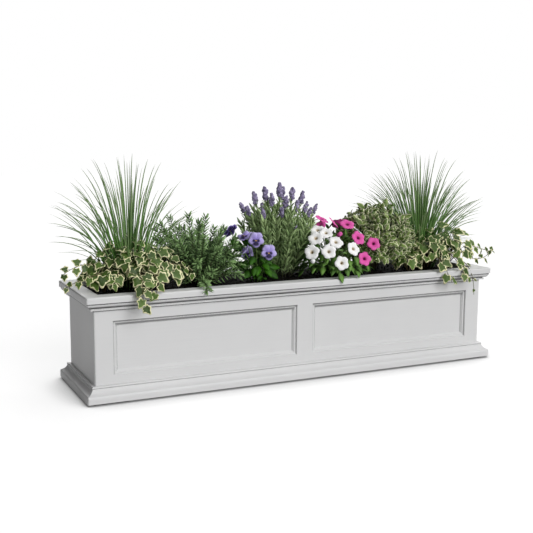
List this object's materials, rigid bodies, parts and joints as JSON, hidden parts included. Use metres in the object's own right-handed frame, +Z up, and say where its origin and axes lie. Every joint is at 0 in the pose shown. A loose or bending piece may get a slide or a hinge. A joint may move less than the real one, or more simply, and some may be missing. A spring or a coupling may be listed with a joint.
{
  "type": "window box planter",
  "caption": "Long window box planter with a moulded crown rim, sunk front panels and a stepped base, with a lift-out liner of soil planted with grasses, ivy, herbs and flowers.",
  "frame": {"origin": "on the ground under the middle of the box", "axes": "+Z up, +X along the box to the right as seen from the panelled front, +Y from the front to the back"},
  "size_m": [1.36, 0.402, 0.616],
  "materials": {
    "shell": "white moulded polyethylene, satin",
    "rubber": "matt dark rubber",
    "liner": "black moulded polypropylene",
    "brass": "turned brass",
    "soil": "dark crumbly potting soil",
    "grass": "slender grass blades",
    "pansy": "green leaves and violet petals",
    "petunia": "green leaves, white and pink petals",
    "rosemary": "dark needle leaves",
    "lavender": "grey-green leaves and violet flower spikes",
    "shrub": "small green leaves with cream edges",
    "ivy": "green lobed leaves with cream edges"
  },
  "bodies": {
    "box": {"outer_shell": "shell", "wall_inserts": "brass", "foot_front_left": "rubber", "foot_front_right": "rubber", "foot_rear_left": "rubber", "foot_rear_right": "rubber", "outlet_grommet_left": "rubber", "outlet_grommet_right": "rubber"},
    "planting": {"planting_liner": "liner", "soil_bed": "soil", "grass_left": "grass", "grass_right": "grass", "pansy": "pansy", "petunia": "petunia", "rosemary": "rosemary", "lavender": "lavender", "variegated_shrub": "shrub", "ivy_left": "ivy", "ivy_right": "ivy"},
    "stopper_left": {"outlet_stopper_left": "rubber"},
    "stopper_right": {"outlet_stopper_right": "rubber"}
  },
  "joints": [
    {"name": "liner_lift", "type": "slide", "parent": "box", "child": "planting", "axis": [0, 0, 1], "range_m": [0, 0.28]},
    {"name": "stopper_left_pull", "type": "slide", "parent": "box", "child": "stopper_left", "axis": [0, 1, 0], "range_m": [0, 0.03]},
    {"name": "stopper_right_pull", "type": "slide", "parent": "box", "child": "stopper_right", "axis": [0, 1, 0], "range_m": [0, 0.03]}
  ]
}
